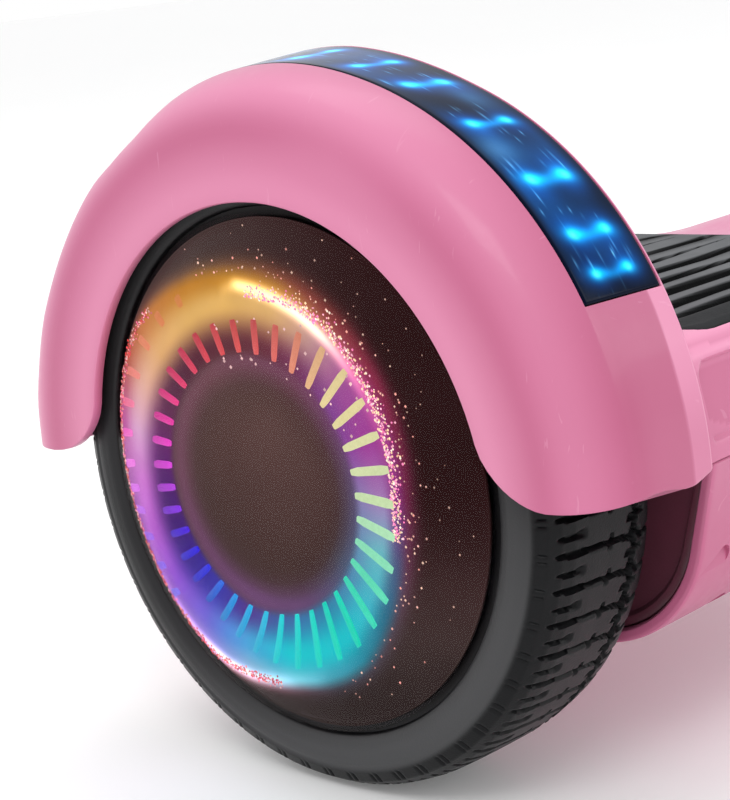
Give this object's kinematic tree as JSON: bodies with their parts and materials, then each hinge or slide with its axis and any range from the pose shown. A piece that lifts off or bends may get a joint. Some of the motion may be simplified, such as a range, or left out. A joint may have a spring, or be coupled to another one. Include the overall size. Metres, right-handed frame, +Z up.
{
  "type": "self balancing hoverboard",
  "caption": "Two-wheeled self balancing board: twin pink shells pivoting at the waist, hub motors under arched fenders with light strips, ribbed foot mats.",
  "frame": {"origin": "on the ground under the middle of the board", "axes": "+X along the wheel axles to the right end seen from the front, front towards -Y, +Z up"},
  "size_m": [0.584, 0.199, 0.182],
  "materials": {
    "pink_gloss": "glossy moulded pink",
    "dark_plastic": "fine texture, black",
    "blue_lens": "deep blue see-through lens",
    "clear_lens": "frosted clear",
    "smoked_cover": "smoked see-through",
    "hub_lights": "ring of lights",
    "tyre": "solid rubber, satin",
    "mat_rubber": "ribbed grey rubber",
    "seal_rubber": "matt black",
    "cast_alloy": "as cast",
    "steel": "machined",
    "zinc_steel": "zinc plated",
    "bearing_steel": "ground",
    "magnet": "nickel plated",
    "copper": "enamelled copper wire",
    "circuit_board": "green solder mask",
    "battery_wrap": "blue heat-shrink wrap",
    "cable": "black sleeving",
    "bush_plastic": "natural plastic",
    "button_metal": "turned cap"
  },
  "bodies": {
    "left_half": {"left_frame": "cast_alloy", "left_axle_clamp": "cast_alloy", "left_clamp_bolts": "zinc_steel", "left_upper_shell": "pink_gloss", "left_lower_shell": "pink_gloss", "left_shell_screws": "zinc_steel", "left_fender_light_lens": "blue_lens", "left_fender_light_strip": "circuit_board", "left_wheel_well_liner": "dark_plastic", "left_headlight_lens": "clear_lens", "left_sensor_board": "circuit_board", "left_axle": "steel", "left_stator": "steel", "left_stator_windings": "copper", "left_bearing_inners": "bearing_steel", "left_wiring": "cable", "pivot_tube": "steel", "pivot_circlips": "zinc_steel", "pivot_seal": "seal_rubber", "battery_pack": "battery_wrap", "battery_bracket": "zinc_steel"},
    "right_half": {"right_frame": "cast_alloy", "right_axle_clamp": "cast_alloy", "right_clamp_bolts": "zinc_steel", "right_upper_shell": "pink_gloss", "right_lower_shell": "pink_gloss", "right_shell_screws": "zinc_steel", "right_fender_light_lens": "blue_lens", "right_fender_light_strip": "circuit_board", "right_wheel_well_liner": "dark_plastic", "right_headlight_lens": "clear_lens", "right_sensor_board": "circuit_board", "right_axle": "steel", "right_stator": "steel", "right_stator_windings": "copper", "right_bearing_inners": "bearing_steel", "right_wiring": "cable", "pivot_bushes": "bush_plastic", "control_board": "circuit_board", "speaker": "dark_plastic", "power_button_bezel": "dark_plastic", "charge_socket": "dark_plastic"},
    "left_wheel": {"left_tyre": "tyre", "left_rotor_ring": "cast_alloy", "left_rotor_magnets": "magnet", "left_rotor_side_cover": "cast_alloy", "left_bearing_outers": "bearing_steel", "left_hub_light_cover": "smoked_cover", "left_hub_light_ring": "hub_lights"},
    "left_foot_pad": {"left_foot_mat": "mat_rubber"},
    "right_wheel": {"right_tyre": "tyre", "right_rotor_ring": "cast_alloy", "right_rotor_magnets": "magnet", "right_rotor_side_cover": "cast_alloy", "right_bearing_outers": "bearing_steel", "right_hub_light_cover": "smoked_cover", "right_hub_light_ring": "hub_lights"},
    "right_foot_pad": {"right_foot_mat": "mat_rubber"},
    "power_button": {"power_button": "button_metal"},
    "charge_cap": {"charge_cap": "seal_rubber"}
  },
  "joints": [
    {"name": "centre_pivot", "type": "hinge", "parent": "left_half", "child": "right_half", "pos_m": [0, 0, 0.075], "axis": [1, 0, 0], "range_deg": [-12, 12], "stiffness_Nm_per_rad": 3},
    {"name": "left_wheel_spin", "type": "hinge", "parent": "left_half", "child": "left_wheel", "pos_m": [-0.26, 0, 0.0825], "axis": [1, 0, 0], "continuous": true},
    {"name": "left_pad_press", "type": "slide", "parent": "left_half", "child": "left_foot_pad", "axis": [0, 0, -1], "range_m": [0, 0.0015], "stiffness_N_per_m": 9000, "springref_m": -0.0004},
    {"name": "right_wheel_spin", "type": "hinge", "parent": "right_half", "child": "right_wheel", "pos_m": [0.26, 0, 0.0825], "axis": [1, 0, 0], "continuous": true},
    {"name": "right_pad_press", "type": "slide", "parent": "right_half", "child": "right_foot_pad", "axis": [0, 0, -1], "range_m": [0, 0.0015], "stiffness_N_per_m": 9000, "springref_m": -0.0004},
    {"name": "power_button_press", "type": "slide", "parent": "right_half", "child": "power_button", "axis": [0, -1, 0], "range_m": [0, 0.001], "stiffness_N_per_m": 800, "springref_m": -0.0004},
    {"name": "charge_cap_swing", "type": "hinge", "parent": "right_half", "child": "charge_cap", "pos_m": [0.1774, 0.0878, 0.07], "axis": [0, 0, -1], "range_deg": [0, 110]}
  ]
}
